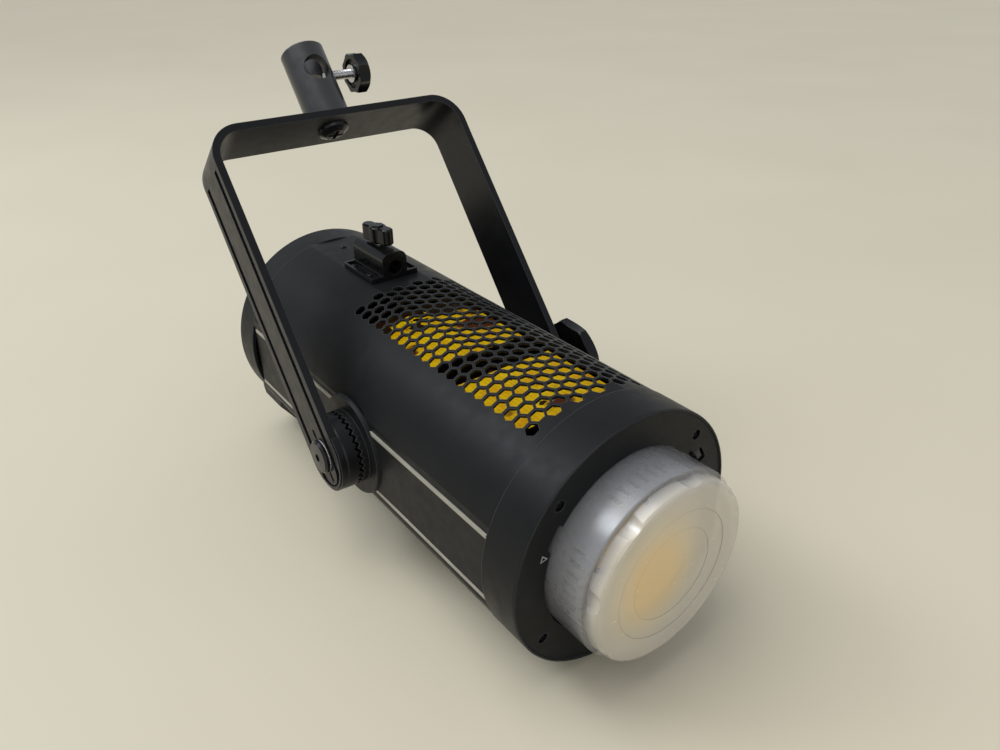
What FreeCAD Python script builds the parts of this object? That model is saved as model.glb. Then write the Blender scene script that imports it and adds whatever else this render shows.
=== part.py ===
"""Compact fanless COB LED spotlight with a yoke, a spigot receiver and a protective cap.

Frame: the origin is the centre of the front mount's face, on the optical axis. The light leaves
along -Y, +Z is up and +X is the side of the tilt lock knob. The yoke leans to the rear.
Millimetres.
"""
import FreeCAD, Part
import math
import os
from FreeCAD import Vector as V

# ---------------------------------------------------------------- driving dimensions
FRONT_R = 71.0            # front ring, outside
BARREL_R = 70.6           # round sides of the barrel
REAR_R = 69.6             # rear ring, outside
FLAT = 65.8               # distance from the axis to the barrel's side flats
TOP_FLAT = 68.5           # and to its narrow top and bottom flats
WALL = 1.5                # barrel wall
SEAM_Y = 24.6             # front ring to barrel
REAR_Y = 296.1            # barrel to rear ring
BACK_Y = 319.1            # rear edge of the rear ring
TILT_Y = 156.3            # tilt axis, along X through the optical axis
LEAN = 38.8               # yoke's lean to the rear, degrees from upright

MOUNT_R = 52.3            # bore of the front bayonet mount
PLATE_R = 69.3            # front plate
PLATE_IN = 0.9            # how far the plate sits behind the rim
PLATE_T = 4.0
LUG_ANGLES = (32.0, 152.0, 272.0)   # bayonet lugs, degrees from +X towards +Z
WAY_WIDTH = 15.5          # a lug's way, degrees
LUG_WIDTH = 12.0
LUG_R = 54.6
LOCK_ANGLE = 29.5         # lock pin's place round the mount
SCREW_ANGLES = (44.0, 136.0, 213.0, 327.0)
SCREW_CIRCLE = 62.3

VENT_PITCH = 8.095        # hexagons along the barrel
VENT_ROW = 7.1            # rows round the barrel
VENT_FLAT = 6.7           # across flats, along the barrel
VENT_REAR = TILT_Y + 39.07
VENT_COUNT = 21           # holes in the longer rows
VENT_ROWS = 11

YOKE_IN = 81.5            # half the gap between the yoke's legs
YOKE_T = 4.5
YOKE_H = 195.5            # tilt axis to the top of the crossbar
YOKE_BEND = 20.0          # outside radius of its corners
YOKE_END_R = 20.5         # rounded leg ends
YOKE_TOP_W = 18.4         # half width at the crossbar

ROSETTE_R = 22.2
TEETH = 32
TOOTH = 2.2
SPIGOT_R = 8.25           # socket for a 16 mm stand spigot
RECEIVER_R = 13.9
RECEIVER_TOP = 245.0      # above the tilt axis, along the yoke
CROSS_H = 227.0           # cross bore, above the tilt axis
RUN = 0.05                # radial clearance of a turning fit

CAP_R = 51.5
CAP_DEPTH = 30.0
CAP_WALL = 1.8
CAP_STEP = 21.0           # where the grip band starts, ahead of the mount's face
CAP_DIPS = 8
CAP_DIP_ANGLE = 35.0      # first dip of the grip band

BRACKET_Y = 228.6         # umbrella bracket's middle
BRACKET_L = 37.4
BRACKET_BORE_Z = 76.0
BRACKET_BORE_R = 4.6

X, Y, Z = V(1, 0, 0), V(0, 1, 0), V(0, 0, 1)
ORIGIN = V(0, 0, 0)


# ---------------------------------------------------------------- helpers
def cyl(radius, start, end):
    """A cylinder from one point to another."""
    axis = end - start
    return Part.makeCylinder(radius, axis.Length, start, axis)


def cyl_x(radius, x0, x1, y=0.0, z=0.0):
    return cyl(radius, V(x0, y, z), V(x1, y, z))


def cyl_y(radius, y0, y1, x=0.0, z=0.0):
    return cyl(radius, V(x, y0, z), V(x, y1, z))


def cyl_z(radius, z0, z1, x=0.0, y=0.0):
    return cyl(radius, V(x, y, z0), V(x, y, z1))


def tube_y(outer, inner, y0, y1, x=0.0, z=0.0):
    return cyl_y(outer, y0, y1, x, z).cut(cyl_y(inner, y0 - 1, y1 + 1, x, z))


def box(x0, x1, y0, y1, z0, z1):
    return Part.makeBox(x1 - x0, y1 - y0, z1 - z0, V(x0, y0, z0))


def prism(points, direction):
    """Extrude the closed outline through the points."""
    wire = Part.makePolygon(points + [points[0]])
    return Part.Face(wire).extrude(direction)


def fuse(shapes):
    """One solid out of several that touch or overlap."""
    joined = shapes[0].multiFuse(shapes[1:])
    return joined.removeSplitter()


def group(shapes):
    """Separate solids kept in one node."""
    return Part.makeCompound(shapes)


def revolve_y(profile, x=0.0, z=0.0):
    """Turn (radius, y) points about a line along Y."""
    points = [V(x + r, y, z) for r, y in profile]
    face = Part.Face(Part.makePolygon(points + [points[0]]))
    return face.revolve(V(x, 0, z), Y, 360)


def revolve_x(profile, y=0.0, z=0.0):
    """Turn (radius, x) points about a line along X."""
    points = [V(x, y, z + r) for r, x in profile]
    face = Part.Face(Part.makePolygon(points + [points[0]]))
    return face.revolve(V(0, y, z), X, 360)


def revolve_z(profile, x=0.0, y=0.0):
    """Turn (radius, z) points about a line along Z."""
    points = [V(x + r, y, z) for r, z in profile]
    face = Part.Face(Part.makePolygon(points + [points[0]]))
    return face.revolve(V(x, y, 0), Z, 360)


def polar_y(radius, degrees, y=0.0):
    """A point round the optical axis, counted from +X towards +Z."""
    a = math.radians(degrees)
    return V(radius * math.cos(a), y, radius * math.sin(a))


def sector_y(inner, outer, middle, width, y0, y1):
    """A piece of a ring round the optical axis, width in degrees."""
    steps = 3
    half = width / 2.0
    outside = [middle - half + width * i / steps for i in range(steps + 1)]
    reach = outer / math.cos(math.radians(half / steps)) + 1.0
    corners = [polar_y(reach, a, y0) for a in outside] + [polar_y(0.0, 0.0, y0)]
    wedge = prism(corners, V(0, y1 - y0, 0))
    return tube_y(outer, inner, y0, y1).common(wedge)


def barrel_section(inset, y0, y1):
    """Round bar with four flats, set in from the barrel's outside."""
    side, top = FLAT - inset, TOP_FLAT - inset
    return cyl_y(BARREL_R - inset, y0, y1).common(box(-side, side, y0, y1, -top, top))


def to_yoke(shape):
    """From the upright yoke, pivot at the origin, to where it leans on the lamp."""
    moved = shape.copy()
    moved.rotate(ORIGIN, X, -LEAN)
    moved.translate(V(0, TILT_Y, 0))
    return moved


def mirror_x(shape):
    return shape.mirror(ORIGIN, X)


def star(corner_r, waist, lobes, depth, phase=0.0):
    """A fluted knob blank along +Z: scooped flutes between sharp corners."""
    pitch = 360.0 / lobes
    half = math.radians(pitch / 2)
    edges = []
    for i in range(lobes):
        a = math.radians(phase + pitch * i)
        start = V(corner_r * math.cos(a), corner_r * math.sin(a), 0)
        end = V(corner_r * math.cos(a + 2 * half), corner_r * math.sin(a + 2 * half), 0)
        middle = V(waist * math.cos(a + half), waist * math.sin(a + half), 0)
        edges.append(Part.Arc(start, middle, end).toShape())
    return Part.Face(Part.Wire(edges)).extrude(V(0, 0, depth))


def z_to_x(shape, x=0.0, y=0.0, z=0.0):
    """Lay a shape that stands on +Z along +X."""
    turned = shape.copy()
    turned.rotate(ORIGIN, Y, 90)
    turned.translate(V(x, y, z))
    return turned


def z_to_y(shape, x=0.0, y=0.0, z=0.0):
    """Lay a shape that stands on +Z along +Y."""
    turned = shape.copy()
    turned.rotate(ORIGIN, X, -90)
    turned.translate(V(x, y, z))
    return turned


# ---------------------------------------------------------------- barrel
def vent_hole(arc, y):
    """One hexagon, pointed round the barrel, at an arc length from the top line."""
    edge = math.sqrt(BARREL_R ** 2 - TOP_FLAT ** 2)
    side = math.copysign(1.0, arc)
    along = abs(arc)
    if along < edge:
        lean = 0.0
        base = V(arc, y, TOP_FLAT)
    else:
        lean = side * (math.asin(edge / BARREL_R) + (along - edge) / BARREL_R)
        base = V(BARREL_R * math.sin(lean), y, BARREL_R * math.cos(lean))
    out = V(math.sin(lean), 0, math.cos(lean))
    across = V(math.cos(lean), 0, -math.sin(lean))
    half = VENT_FLAT / 2.0
    point = half / math.cos(math.radians(30))
    outline = [across * point, across * (point / 2) + Y * half, across * (-point / 2) + Y * half,
               across * -point, across * (-point / 2) - Y * half, across * (point / 2) - Y * half]
    start = base - out * (WALL + 2.5)
    return prism([start + p for p in outline], out * (WALL + 5.5))


def vent_field():
    """Close-packed rows over the top flat and both shoulders."""
    holes = []
    for row in range(VENT_ROWS):
        arc = (row - (VENT_ROWS - 1) / 2.0) * VENT_ROW
        offset = row % 2
        for i in range(VENT_COUNT - offset):
            y = VENT_REAR - VENT_PITCH * (i + offset / 2.0)
            holes.append(vent_hole(arc, y))
    return holes


def barrel_shell():
    shell = barrel_section(0.0, SEAM_Y, REAR_Y)
    shell = shell.cut(barrel_section(WALL, SEAM_Y - 1, REAR_Y + 1))
    shell = shell.cut(group(vent_field()))
    return shell.cut(cyl_x(6.0, -FLAT - 1, FLAT + 1, TILT_Y, 0.0))


# ---------------------------------------------------------------- front ring, plate and mount
RELEASE_SLOT = 7.0        # release slider's slot, degrees round the ring
RIM_BORE = 66.2
FLANGE_BORE = 63.0        # flange at the ring's rear that the barrel's end seats on
FLANGE_Y = SEAM_Y - 2.0


def front_ring():
    """Rim with a seat for the plate and a flange behind, against the barrel's end."""
    rim = revolve_y([(PLATE_R + 0.05, 0.6), (FRONT_R - 0.9, 0.0), (FRONT_R - 0.2, 0.25),
                     (FRONT_R, 1.0), (FRONT_R, SEAM_Y), (FLANGE_BORE, SEAM_Y),
                     (FLANGE_BORE, FLANGE_Y), (RIM_BORE, FLANGE_Y),
                     (RIM_BORE, PLATE_IN + PLATE_T), (PLATE_R + 0.05, PLATE_IN + PLATE_T)])
    slot = sector_y(60.0, FRONT_R + 2, LOCK_ANGLE, RELEASE_SLOT, 9.0, 21.5)
    return rim.cut(slot)


def front_plate():
    """Bayonet plate: bore, three lug ways, four screw posts and the lock pin's slot."""
    y0, y1 = PLATE_IN, PLATE_IN + PLATE_T
    posts = [cyl_y(3.6, y1, COLD_Y, p.x, p.z) for p in screw_places()]
    plate = fuse([tube_y(PLATE_R, MOUNT_R, y0, y1)] + posts)
    cuts = [sector_y(MOUNT_R - 1, LUG_R + 0.5, a, WAY_WIDTH, y0 - 1, y1 + 1) for a in LUG_ANGLES]
    cuts += [cyl_y(2.9, y0 - 1, y0 + 2.2, p.x, p.z) for p in screw_places()]
    cuts.append(sector_y(MOUNT_R - 1, 60.4, LOCK_ANGLE, 9.2, y0 - 1, y1 + 1))
    return plate.cut(group(cuts))


def screw_places():
    return [polar_y(SCREW_CIRCLE, a) for a in SCREW_ANGLES]


def lock_frame(shape):
    """Turn a piece drawn on the +X side to the lock pin's place."""
    turned = shape.copy()
    turned.rotate(ORIGIN, Y, -LOCK_ANGLE)
    return turned


def lock_pin():
    """Steel catch that stands in the plate's slot, on an arm to the release slider."""
    face = PLATE_IN + 0.7
    catch = box(55.3, 59.8, face, 8.0, -3.0, 3.0)
    catch = catch.makeChamfer(0.8, [e for e in catch.Edges if abs(e.CenterOfMass.y - face) < 0.01])
    arm = box(57.0, 64.3, 6.0, 8.0, -3.0, 3.0)
    tail = box(61.5, 64.3, 8.0, 14.0, -3.0, 3.0)
    return lock_frame(fuse([catch, arm, tail]))


def release_slider():
    """Ribbed thumb piece that lies flush in the ring's slot."""
    stem = box(64.3, 66.4, 10.4, 14.0, -2.9, 2.9)
    thumb = box(66.4, 70.7, 9.6, 17.6, -3.8, 3.8)
    ribs = [box(70.1, 72.0, 10.7 + 2.2 * i, 11.9 + 2.2 * i, -6, 6) for i in range(3)]
    return lock_frame(fuse([stem, thumb.cut(group(ribs))]))


# ---------------------------------------------------------------- lamp engine
COLD_Y = 12.0


COLLAR_SLOTS = (5, 6)     # groups, slots in a group
SLOT_PITCH = 7.2
SLOT_START = 80.6


def cob_collar():
    """Slotted collar round the lamp engine, standing forward inside the cap."""
    front = -17.0
    ring = tube_y(46.0, 43.6, front, COLD_Y)
    lip = tube_y(43.6, 42.6, front, front + 1.8)
    groups, count = COLLAR_SLOTS
    slots = []
    for block in range(groups):
        for i in range(count):
            slot = box(42.0, 48.0, -13.2, -4.8, -1.15, 1.15)
            slot.rotate(ORIGIN, Y, -(SLOT_START + 360.0 / groups * block + SLOT_PITCH * i))
            slots.append(slot)
    return fuse([ring, lip]).cut(group(slots))


def reflector_dish():
    """White funnel from the LED's frame to the collar."""
    return revolve_y([(22.5, 5.0), (23.4, 5.0), (43.5, -8.6), (43.5, -10.0), (42.4, -10.0),
                      (22.5, 3.4)])


def cob_frame():
    """Frame that clamps the LED to the cold plate."""
    frame = box(-26, 26, 5.0, 8.6, -26, 26).cut(cyl_y(20.3, 4, 10))
    seat = box(-22.1, 22.1, 6.8, 9, -22.1, 22.1)
    holes = [cyl_y(1.6, 4, 10, x, z) for x in (-23.5, 23.5) for z in (-23.5, 23.5)]
    return frame.cut(group([seat] + holes)).common(cyl_y(34, 0, 20))


def cob_led():
    """Square carrier with the round emitter."""
    carrier = box(-22, 22, 7.0, 8.6, -22, 22)
    emitter = cyl_y(20.0, 6.2, 7.0)
    return fuse([carrier, emitter])


def cold_plate():
    """Copper plate behind the LED, drilled for the heat pipes."""
    plate = cyl_y(60.0, COLD_Y, COLD_Y + 8)
    pad = box(-26, 26, 8.6, COLD_Y, -26, 26).common(cyl_y(34, 0, 20))
    return fuse([plate, pad]).cut(group(pipe_bores()))


PIPE_PLACES = [(x, z) for x in (-8.0, 8.0) for z in (-24.0, 6.0, 36.0)]
PIPE_R = 3.0
FRONT_STACK = (44.0, 98.0)
REAR_STACK = (121.0, 190.0)


def pipe_bores():
    return [cyl_y(PIPE_R, COLD_Y + 2, REAR_STACK[1] + 5, x, z) for x, z in PIPE_PLACES]


def heat_pipes():
    """Six pipes from the cold plate through both fin stacks, with rounded ends."""
    pipes = []
    for x, z in PIPE_PLACES:
        end = REAR_STACK[1] + 2
        pipe = cyl_y(PIPE_R, COLD_Y + 2, end, x, z)
        tip = Part.makeCone(PIPE_R, 1.2, 3.0, V(x, end, z), Y)
        pipes.append(fuse([pipe, tip]))
    return group(pipes)


FIN_TOP = 54.0
FIN_LOW = -36.0
FIN_SIDE = 52.0
FIN_BEVEL = 21.0
FIN_PITCH = 5.0
FIN_GAP = 3.8
FIN_SKIN = 3.0
FIN_CORE = 13.0


def fin_outline(y, inset):
    """Bevelled outline of a fin, set in from its edges."""
    side, top, low = FIN_SIDE - inset, FIN_TOP - inset, FIN_LOW + inset
    c = FIN_BEVEL
    return [V(side - c, y, top), V(side, y, top - c), V(side, y, low + c), V(side - c, y, low),
            V(c - side, y, low), V(-side, y, low + c), V(-side, y, top - c), V(c - side, y, top)]


def fin_stack(y0, y1):
    """Stack of folded fins: closed top, bottom and bevels, slots open at both flanks."""
    block = prism(fin_outline(y0, 0.0), V(0, y1 - y0, 0))
    count = int((y1 - y0 - 1.0) / FIN_PITCH)
    start = (y0 + y1 - (count - 1) * FIN_PITCH - FIN_GAP) / 2.0
    slots = []
    for i in range(count):
        y = start + FIN_PITCH * i
        space = prism(fin_outline(y, FIN_SKIN), V(0, FIN_GAP, 0))
        flank = box(-FIN_SIDE - 1, FIN_SIDE + 1, y, y + FIN_GAP, FIN_LOW + FIN_BEVEL + 1,
                    FIN_TOP - FIN_BEVEL - 1)
        core = box(-FIN_CORE, FIN_CORE, y - 1, y + FIN_GAP + 1, FIN_LOW, FIN_TOP)
        slots.append(space.fuse(flank).cut(core))
    return block.cut(group(slots)).cut(group(pipe_bores()))


TRAY_TOP = WALL - TOP_FLAT + 1.5
BOARD_Z = -50.0
BOARD_T = 1.6


def chassis_tray():
    """Tray on the barrel's floor with risers under the fin stacks."""
    floor = WALL - TOP_FLAT
    tray = box(-16, 16, SEAM_Y + 2, REAR_Y - 4, floor, TRAY_TOP)
    lips = [box(x, x + 1.5, 200, 290, TRAY_TOP, -54.0) for x in (-16.0, 14.5)]
    risers = [box(-15, 15, y, y + 10, TRAY_TOP, FIN_LOW) for y in (60, 150)]
    return fuse([tray] + lips + risers)


def driver_board():
    return box(-30, 30, 206, 288, BOARD_Z, BOARD_Z + BOARD_T)


def driver_parts():
    """Transformer, capacitors and heat-spreading bar on the driver board."""
    top = BOARD_Z + BOARD_T
    parts = [box(-12, 14, 222, 248, top, top + 20),
             box(-28, -24, 212, 280, top, top + 24),
             cyl_z(7.5, top, top + 26, 20, 268),
             cyl_z(7.5, top, top + 26, 4, 268),
             cyl_z(5.0, top, top + 16, 22, 214)]
    return group(parts)


def board_posts():
    return group([cyl_z(2.5, TRAY_TOP, BOARD_Z, x, y) for x in (-11, 11) for y in (212, 282)])


# ---------------------------------------------------------------- sides and tilt joint
PANEL_Z = 18.7
PANEL_T = 0.7
TRIM_Z = 20.9
COLLAR_R = 31.0


def side_panel():
    """Thin plate on the left flat, cut away round the tilt collar."""
    x0, x1 = -FLAT - PANEL_T, -FLAT
    plate = box(x0, x1, SEAM_Y + 1.5, REAR_Y - 4.5, -PANEL_Z, PANEL_Z)
    return plate.cut(cyl_x(COLLAR_R + 0.1, x0 - 1, x1 + 1, TILT_Y))


def side_trims():
    """Bright strips along both edges of the left panel."""
    strips = []
    for z0, z1 in ((PANEL_Z, TRIM_Z), (-TRIM_Z, -PANEL_Z)):
        strip = box(-FLAT - 1.0, -FLAT, SEAM_Y + 1.5, REAR_Y - 4.5, z0, z1)
        cut = strip.cut(cyl_x(COLLAR_R + 0.1, -FLAT - 2, -FLAT + 1, TILT_Y))
        strips += cut.Solids
    return strips


def face_teeth(x_root, x_tip, bore):
    """Radial V teeth on a disc's face, along X, round the tilt axis."""
    blank = cyl_x(ROSETTE_R, min(x_root, x_tip), max(x_root, x_tip)).cut(
        cyl_x(bore, min(x_root, x_tip) - 1, max(x_root, x_tip) + 1))
    cutters = []
    reach = ROSETTE_R + 2.0
    half = math.pi / TEETH
    for i in range(TEETH):
        a = 2 * math.pi * i / TEETH
        edge = V(0, math.cos(a), math.sin(a)) * reach
        side = V(0, -math.sin(a), math.cos(a)) * (reach * math.tan(half))
        over = V((x_tip - x_root) * 0.02, 0, 0)
        left, right, root = (edge - side + V(x_tip, 0, 0) + over,
                             edge + side + V(x_tip, 0, 0) + over,
                             edge + V(x_root, 0, 0))
        apex = V(x_tip, 0, 0) + over
        cutters.append(wedge(apex, left, right, root))
    return blank.cut(group(cutters))


def wedge(apex, left, right, root):
    """Closed solid through four corners."""
    corners = ((left, right, root), (apex, left, root), (apex, root, right), (apex, right, left))
    faces = [Part.Face(Part.makePolygon(list(c) + [c[0]])) for c in corners]
    return Part.Solid(Part.Shell(faces))


COLLAR_FACE = 68.3
BODY_TEETH_ROOT = 71.0
BODY_TEETH_TIP = BODY_TEETH_ROOT + TOOTH
LEG_TEETH_ROOT = 75.8
LEG_TEETH_TIP = LEG_TEETH_ROOT - TOOTH
ROSETTE_BORE = 14.0
STUD_R = 5.0
THREAD_R = 4.0


def tilt_collar_right():
    """Flared collar on the barrel's flat with the toothed face of the tilt joint."""
    nut, inside = FLAT - 5.0, FLAT - WALL
    disc = revolve_x([(STUD_R, nut), (12.0, nut), (12.0, inside), (5.99, inside),
                      (5.99, FLAT), (COLLAR_R, FLAT), (COLLAR_R, FLAT + 0.8),
                      (30.2, COLLAR_FACE), (ROSETTE_R, COLLAR_FACE), (ROSETTE_R, BODY_TEETH_ROOT),
                      (STUD_R, BODY_TEETH_ROOT)])
    teeth = face_teeth(BODY_TEETH_ROOT, BODY_TEETH_TIP, ROSETTE_BORE)
    joint = fuse([disc, teeth])
    joint.translate(V(0, TILT_Y, 0))
    return joint


def tilt_collar(side):
    shape = tilt_collar_right()
    if side < 0:
        shape = mirror_x(shape)
    return shape


def leg_end_cap(side):
    """Toothed puck inside the leg, with a rim that wraps the leg's rounded end."""
    inner, outer = YOKE_IN, YOKE_IN + YOKE_T
    puck = revolve_x([(STUD_R + RUN, LEG_TEETH_ROOT), (ROSETTE_R, LEG_TEETH_ROOT),
                      (ROSETTE_R, inner - 0.8), (ROSETTE_R - 0.3, inner), (STUD_R + RUN, inner)])
    rim = cyl_x(ROSETTE_R - 0.3, inner, outer - 0.6).cut(cyl_x(YOKE_END_R, inner - 1, outer + 1))
    rim = rim.cut(box(inner - 1, outer + 1, -30, 30, 6.0, 30))
    rim = rim.cut(box(inner - 1, outer + 1, -30, 30, -1.0, 30).common(leg_outline(inner - 1, outer + 1)))
    teeth = face_teeth(LEG_TEETH_ROOT, LEG_TEETH_TIP, ROSETTE_BORE)
    teeth.rotate(ORIGIN, X, 180.0 / TEETH + LEAN)
    shape = fuse([puck, teeth, rim])
    if side < 0:
        shape = mirror_x(shape)
    return to_yoke(shape)


def pivot_screw():
    """Left pivot: a shoulder screw from outside the leg into the collar."""
    face = YOKE_IN + YOKE_T
    head = revolve_x([(0, face + 0.6), (10.0, face + 0.6), (10.0, face + 2.2), (9.0, face + 3.4),
                      (0, face + 3.7)])
    shank = cyl_x(STUD_R, FLAT - 8, face + 0.6)
    socket = z_to_x(hex_bar(2.3, 3.0), face + 1.6)
    screw = fuse([head, shank]).cut(socket)
    screw.rotate(ORIGIN, X, -LEAN)
    screw.translate(V(0, TILT_Y, 0))
    return mirror_x(screw)


def hex_bar(half_flats, height):
    r = half_flats / math.cos(math.radians(30))
    points = [V(r * math.cos(math.radians(60 * i)), r * math.sin(math.radians(60 * i)), 0)
              for i in range(6)]
    return prism(points, V(0, 0, height))


def thrust_washer(side):
    """Thin washer between the leg and what bears on it."""
    face = YOKE_IN + YOKE_T
    ring = cyl_x(9.6, face, face + 0.5).cut(cyl_x(STUD_R + RUN, face - 1, face + 1))
    if side < 0:
        ring = mirror_x(ring)
    return to_yoke(ring)


def tilt_stud():
    """Right pivot: a shouldered stud fixed in the collar, threaded at its end."""
    face = YOKE_IN + YOKE_T
    stud = fuse([cyl_x(STUD_R, FLAT - 8, face + 0.4), cyl_x(THREAD_R, face + 0.4, KNOB_OUT - 3.5)])
    stud.translate(V(0, TILT_Y, 0))
    return stud


KNOB_IN = 98.7
KNOB_OUT = 107.5
KNOB_R = 28.2
KNOB_LOBES = 9


def tilt_knob():
    """Fluted lock knob with a boss towards the leg and a dished outer face."""
    face = YOKE_IN + YOKE_T + 0.6
    blank = star(KNOB_R, KNOB_R - 2.8, KNOB_LOBES, KNOB_OUT - KNOB_IN, phase=5.7)
    blank = z_to_x(blank, KNOB_IN)
    turned = revolve_x([(0, KNOB_IN), (KNOB_R - 1.2, KNOB_IN), (KNOB_R + 0.1, KNOB_IN + 1.6),
                        (KNOB_R + 0.1, KNOB_OUT - 3.0), (KNOB_R - 4.0, KNOB_OUT), (0, KNOB_OUT)])
    blank = blank.common(turned)
    boss = revolve_x([(0, face + 1.0), (11.0, face + 1.0), (13.0, KNOB_IN), (0, KNOB_IN)])
    dish = revolve_x([(0, KNOB_OUT - 1.4), (15.0, KNOB_OUT - 1.4), (16.0, KNOB_OUT + 1),
                      (0, KNOB_OUT + 1)])
    bore = cyl_x(7.0, face, KNOB_OUT - 3.0)
    knob = fuse([blank, boss]).cut(group([dish, bore]))
    knob.translate(V(0, TILT_Y, 0))
    return knob


def tilt_knob_nut():
    """Steel insert moulded into the knob, running on the stud's thread."""
    face = YOKE_IN + YOKE_T + 0.6
    nut = cyl_x(7.0, face + 0.1, KNOB_OUT - 3.0).cut(cyl_x(THREAD_R + RUN, face - 1, KNOB_OUT))
    flange = cyl_x(9.0, face + 0.1, face + 1.0).cut(cyl_x(THREAD_R + RUN, face - 1, face + 2))
    insert = fuse([nut, flange])
    insert.translate(V(0, TILT_Y, 0))
    return insert


# ---------------------------------------------------------------- yoke
def leg_outline(x0, x1):
    """Side view of the yoke: rounded end at the pivot, tapering to the crossbar."""
    tangent_z = 4.0
    w = math.sqrt(YOKE_END_R ** 2 - tangent_z ** 2)
    arc = Part.Arc(V(x0, -w, tangent_z), V(x0, 0, -YOKE_END_R), V(x0, w, tangent_z)).toShape()
    top = YOKE_H + 1.0
    points = [V(x0, w, tangent_z), V(x0, YOKE_TOP_W, YOKE_H - 30), V(x0, YOKE_TOP_W, top),
              V(x0, -YOKE_TOP_W, top), V(x0, -YOKE_TOP_W, YOKE_H - 30), V(x0, -w, tangent_z)]
    lines = [Part.LineSegment(a, b).toShape() for a, b in zip(points, points[1:])]
    return Part.Face(Part.Wire([arc] + lines)).extrude(V(x1 - x0, 0, 0))


GROOVE_IN = 9.75
GROOVE_OUT = 14.75
GROOVE_DEEP = 1.3
GROOVE_TOP = 172.0


def leg_groove():
    """Two grooves down the right leg's outer face that meet round its end."""
    x0, x1 = YOKE_IN + YOKE_T - GROOVE_DEEP, YOKE_IN + YOKE_T + 1
    width = box(x0, x1, -GROOVE_OUT, GROOVE_OUT, -30, GROOVE_TOP)
    end = fuse([cyl_x(YOKE_END_R - 1.4, x0, x1),
                box(x0, x1, -YOKE_END_R, YOKE_END_R, 0, GROOVE_TOP)])
    strip = fuse([box(x0 - 1, x1 + 1, -GROOVE_IN, GROOVE_IN, -8.4, GROOVE_TOP + 5),
                  cyl_x(GROOVE_IN, x0 - 1, x1 + 1, 0, -8.4)])
    return width.common(end).cut(strip)


def leg_slots():
    """Two short index slots, above and below the pivot."""
    x0, x1 = YOKE_IN + YOKE_T - 0.8, YOKE_IN + YOKE_T + 1
    return [box(x0, x1, -0.65, 0.65, z - 2.3, z + 2.3) for z in (12.3, -12.3)]


def bar_profile(offset):
    """Front view of the U, offset inwards from the outside."""
    half = YOKE_IN + YOKE_T - offset
    top = YOKE_H - offset
    r = YOKE_BEND - offset
    s = r * math.sqrt(0.5)
    y = -30.0
    low = -30.0
    left_arc = Part.Arc(V(-half, y, top - r), V(-half + r - s, y, top - r + s), V(-half + r, y, top))
    right_arc = Part.Arc(V(half - r, y, top), V(half - r + s, y, top - r + s), V(half, y, top - r))
    edges = [Part.LineSegment(V(-half, y, low), V(-half, y, top - r)), left_arc,
             Part.LineSegment(V(-half + r, y, top), V(half - r, y, top)), right_arc,
             Part.LineSegment(V(half, y, top - r), V(half, y, low)),
             Part.LineSegment(V(half, y, low), V(-half, y, low))]
    return Part.Face(Part.Wire([e.toShape() for e in edges])).extrude(V(0, 60, 0))


def yoke_bar():
    """One bent bar: two grooved legs and the crossbar."""
    bar = bar_profile(0.0).cut(bar_profile(YOKE_T))
    wide = YOKE_IN + YOKE_T + 1
    bar = bar.common(leg_outline(-wide, wide))
    cuts = [leg_groove()] + leg_slots()
    cuts += [mirror_x(c) for c in cuts]
    cuts.append(cyl_x(STUD_R + RUN, -wide, wide))
    cuts.append(cyl_z(5.2, YOKE_H - YOKE_T - 1, YOKE_H + 1))
    return to_yoke(bar.cut(group(cuts)))


# ---------------------------------------------------------------- spigot receiver and its clamp
SOCKET_FLOOR = 205.0
CLAMP_R = 3.0
STAR_IN = 28.3
STAR_OUT = 36.3


def spigot_receiver():
    """Tube on the crossbar: axial socket, cross bore and a tapped hole for the clamp."""
    tube = revolve_z([(0, YOKE_H), (RECEIVER_R, YOKE_H), (RECEIVER_R, RECEIVER_TOP - 0.7),
                      (RECEIVER_R - 0.7, RECEIVER_TOP), (0, RECEIVER_TOP)])
    cuts = [cyl_z(SPIGOT_R, SOCKET_FLOOR, RECEIVER_TOP + 1),
            cyl(SPIGOT_R, V(0, -20, CROSS_H), V(0, 20, CROSS_H)),
            cyl_x(CLAMP_R + RUN, 5, 20, 0, CROSS_H),
            cyl_z(5.0, YOKE_H - 1, SOCKET_FLOOR - 1.5)]
    return to_yoke(tube.cut(group(cuts)))


def receiver_screw():
    """Big button-head screw up through the crossbar, with a cross recess."""
    under = YOKE_H - YOKE_T
    head = revolve_z([(0, under), (10.2, under), (9.8, under - 1.6), (6.0, under - 3.9),
                      (0, under - 4.3)])
    shank = cyl_z(5.0, under, SOCKET_FLOOR - 2.5)
    recess = [box(-5.2, 5.2, -1.2, 1.2, under - 6, under - 1.8),
              box(-1.2, 1.2, -5.2, 5.2, under - 6, under - 1.8)]
    return to_yoke(fuse([head, shank]).cut(group(recess)))


def spigot_pad():
    """Nylon tip that the clamp screw pushes against the spigot."""
    pad = revolve_x([(0, SPIGOT_R + 0.3), (2.4, SPIGOT_R + 0.3), (2.7, SPIGOT_R + 0.7),
                     (2.7, SPIGOT_R + 2.6), (0, SPIGOT_R + 2.6)], 0, CROSS_H)
    return to_yoke(pad)


def spigot_screw():
    start = SPIGOT_R + 2.65
    shaft = cyl_x(CLAMP_R, start, STAR_OUT - 3.0, 0, CROSS_H)
    hub = cyl_x(5.6, STAR_IN - 0.8, STAR_IN + 2.0, 0, CROSS_H)
    return to_yoke(fuse([shaft, hub]))


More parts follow.
